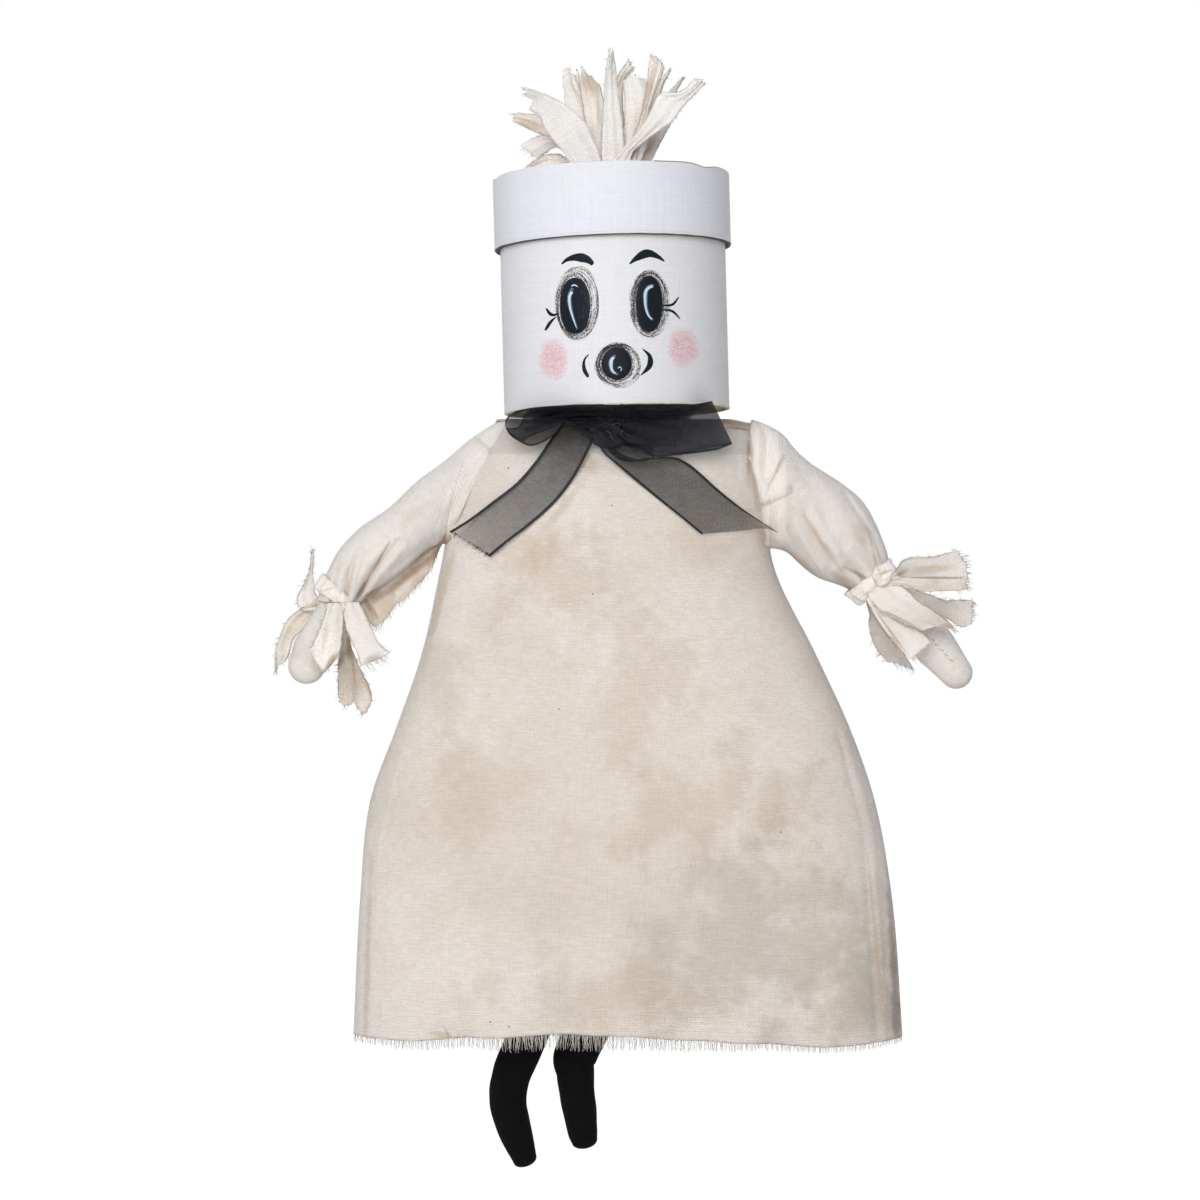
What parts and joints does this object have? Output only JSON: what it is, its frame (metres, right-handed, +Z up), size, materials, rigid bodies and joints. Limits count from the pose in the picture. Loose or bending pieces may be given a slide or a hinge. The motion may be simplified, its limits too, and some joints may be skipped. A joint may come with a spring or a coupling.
{
  "type": "art doll",
  "caption": "Art doll with a round lidded gift box for a head, torn-muslin hair, an A-line muslin dress, an organza bow, soft arms and dangling black legs.",
  "frame": {"origin": "on the flat back of the skirt, 235 mm above the hem and 2.7 mm to the doll's right of the box's middle", "axes": "+Z up to the head, -Y out of the face, +X to the viewer's right"},
  "size_m": [0.3754, 0.127, 0.6033],
  "materials": {
    "muslin": "matte",
    "dress_muslin": "matte",
    "white_board": "matte",
    "raw_board": "matte",
    "black_cloth": "matte",
    "organza": "satin"
  },
  "bodies": {
    "torso": {"torso_stuffed": "muslin", "neck": "muslin", "neck_knot": "muslin", "dress_front": "dress_muslin", "dress_back": "dress_muslin", "ribbon_band": "organza", "ribbon_knot": "organza", "ribbon_loop_left": "organza", "ribbon_loop_right": "organza", "ribbon_tail_left": "organza", "ribbon_tail_right": "organza"},
    "head": {"box_wall": "white_board", "box_floor": "raw_board"},
    "lid": {"lid_rim": "white_board", "lid_top": "white_board", "hair_knot": "muslin", "hair_strip_01": "muslin", "hair_strip_02": "muslin", "hair_strip_03": "muslin", "hair_strip_04": "muslin", "hair_strip_05": "muslin", "hair_strip_06": "muslin", "hair_strip_07": "muslin", "hair_strip_08": "muslin", "hair_strip_09": "muslin", "hair_strip_10": "muslin", "hair_strip_11": "muslin", "hair_strip_12": "muslin", "hair_strip_13": "muslin"},
    "arm_l": {"arm_left": "muslin", "sleeve_left": "muslin", "sleeve_flap_left": "muslin", "wrist_tie_left": "muslin", "cuff_left_1": "muslin", "cuff_left_2": "muslin", "cuff_left_3": "muslin", "cuff_left_4": "muslin", "cuff_left_5": "muslin"},
    "arm_r": {"arm_right": "muslin", "sleeve_right": "muslin", "wrist_tie_right": "muslin", "cuff_right_1": "muslin", "cuff_right_2": "muslin", "cuff_right_3": "muslin", "cuff_right_4": "muslin", "cuff_right_5": "muslin", "cuff_right_6": "muslin"},
    "leg_l": {"leg_left": "black_cloth"},
    "leg_r": {"leg_right": "black_cloth"}
  },
  "joints": [
    {"name": "head_turn", "type": "hinge", "parent": "torso", "child": "head", "pos_m": [0.0027, -0.064, 0.1005], "axis": [-0.0262, 0, 0.9997], "range_deg": [-30, 30]},
    {"name": "lid_lift", "type": "slide", "parent": "head", "child": "lid", "axis": [-0.0262, 0, 0.9997], "range_m": [0, 0.06]},
    {"name": "shoulder_left", "type": "hinge", "parent": "torso", "child": "arm_l", "pos_m": [-0.0762, -0.052, 0.0607], "axis": [0, 1, 0], "range_deg": [-5, 50]},
    {"name": "shoulder_right", "type": "hinge", "parent": "torso", "child": "arm_r", "pos_m": [0.0838, -0.052, 0.0607], "axis": [0, -1, 0], "range_deg": [-8, 50]},
    {"name": "hip_left", "type": "hinge", "parent": "torso", "child": "leg_l", "pos_m": [-0.016, -0.037, -0.1563], "axis": [1, 0, 0], "range_deg": [-14, 12]},
    {"name": "hip_right", "type": "hinge", "parent": "torso", "child": "leg_r", "pos_m": [0.024, -0.037, -0.1563], "axis": [1, 0, 0], "range_deg": [-14, 12]}
  ]
}
